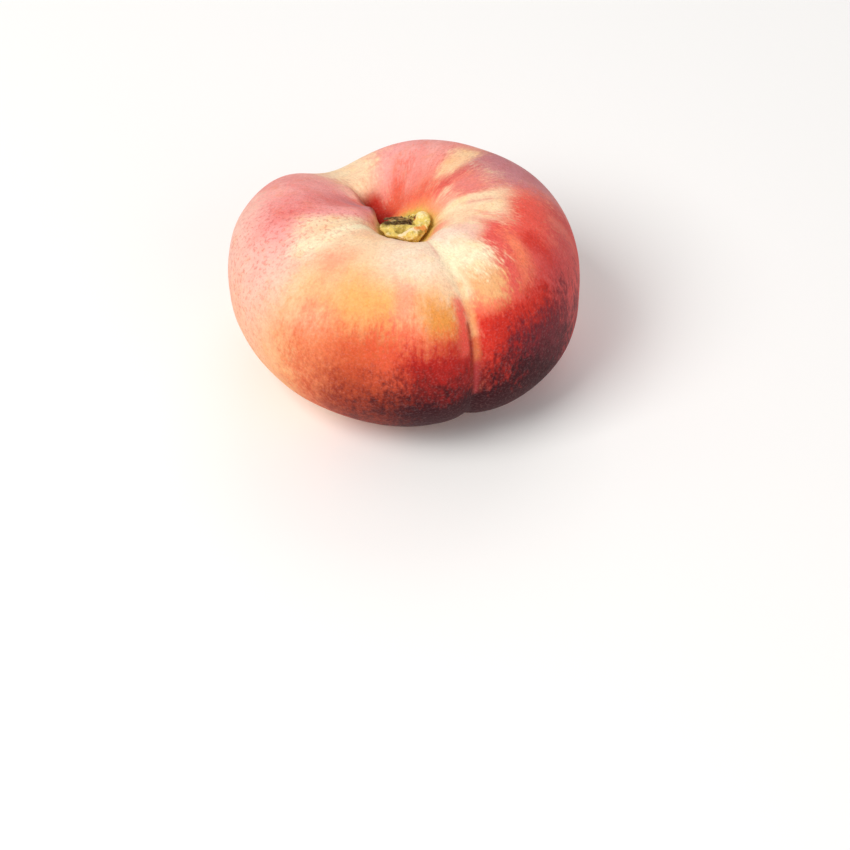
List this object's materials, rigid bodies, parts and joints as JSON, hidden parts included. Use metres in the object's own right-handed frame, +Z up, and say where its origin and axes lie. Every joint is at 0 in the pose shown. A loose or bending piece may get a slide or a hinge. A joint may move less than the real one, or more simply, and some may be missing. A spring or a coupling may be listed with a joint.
{
  "type": "flat peach",
  "caption": "Whole flat peach with a sunken stem pit, a folded shoulder, a shallow suture and a torn stub of stalk, resting on its blossom end.",
  "frame": {"origin": "middle of the fruit's outline seen from above, on the plane it rests on", "axes": "+Z up along the stem axis, +X towards the deep red side, -Y towards the front, the suture runs down at the front right"},
  "size_m": [0.0704, 0.0704, 0.0414],
  "materials": {
    "skin": "matt peach skin with short pale down, cream and orange ground with a red blush in streaks from the stem pit",
    "stalk": "torn, half dry stalk tissue, yellow-green with brown fibres"
  },
  "bodies": {
    "root": {"fruit": "skin", "stalk_stub": "stalk"}
  },
  "joints": []
}
